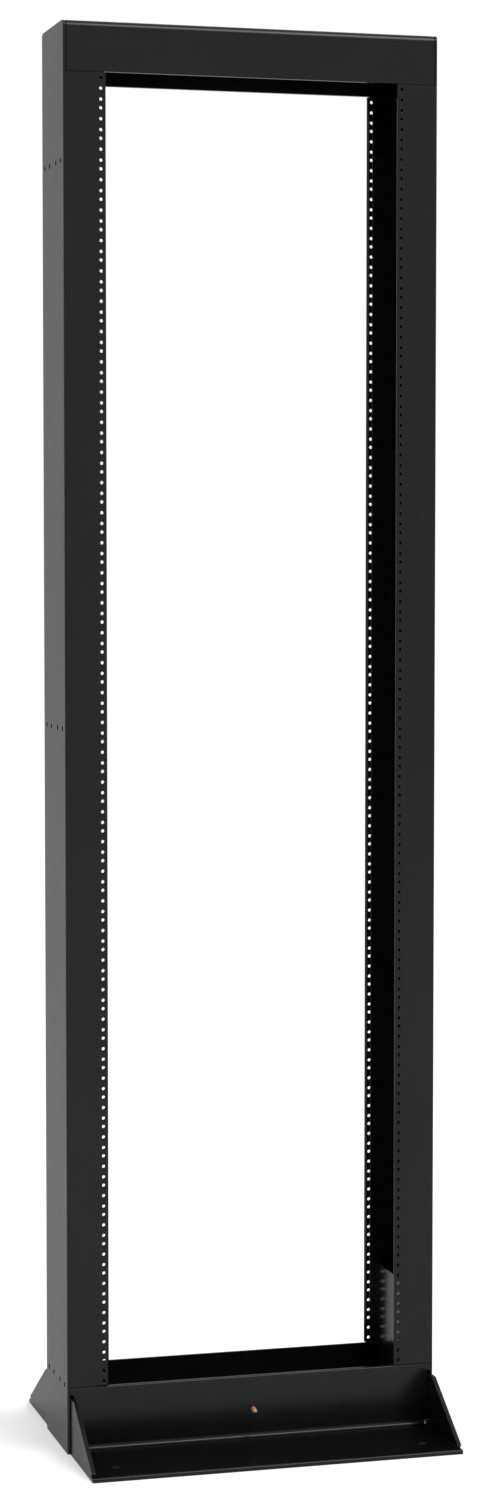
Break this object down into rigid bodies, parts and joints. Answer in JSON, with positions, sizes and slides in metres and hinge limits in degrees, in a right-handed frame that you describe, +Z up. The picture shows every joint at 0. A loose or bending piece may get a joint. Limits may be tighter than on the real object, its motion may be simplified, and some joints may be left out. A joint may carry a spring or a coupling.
{
  "type": "two post open frame rack",
  "caption": "Two post open frame rack in black painted steel, with channel posts, a header across the top and gusseted feet that are anchored to the floor.",
  "frame": {"origin": "on the floor, at the centre of the rack's footprint", "axes": "+X across the rack towards its right post seen from the front, +Y from the front to the back, +Z up along the posts"},
  "size_m": [0.5778, 0.4654, 2.1336],
  "materials": {
    "painted_steel": "black powder coat, semi-gloss",
    "copper_plating": "copper plated steel, slightly dulled"
  },
  "bodies": {
    "root": {"left_post_web": "painted_steel", "left_front_rail": "painted_steel", "left_back_rail": "painted_steel", "left_base_plate": "painted_steel", "right_post_web": "painted_steel", "right_front_rail": "painted_steel", "right_back_rail": "painted_steel", "right_base_plate": "painted_steel", "header_front": "painted_steel", "header_top": "painted_steel", "header_back": "painted_steel", "front_foot_web": "painted_steel", "front_foot_plate": "painted_steel", "front_left_gusset": "painted_steel", "front_right_gusset": "painted_steel", "back_foot_web": "painted_steel", "back_foot_plate": "painted_steel", "back_left_gusset": "painted_steel", "back_right_gusset": "painted_steel", "ground_stud": "copper_plating", "ground_nut": "copper_plating", "ground_washer": "copper_plating"}
  },
  "joints": []
}
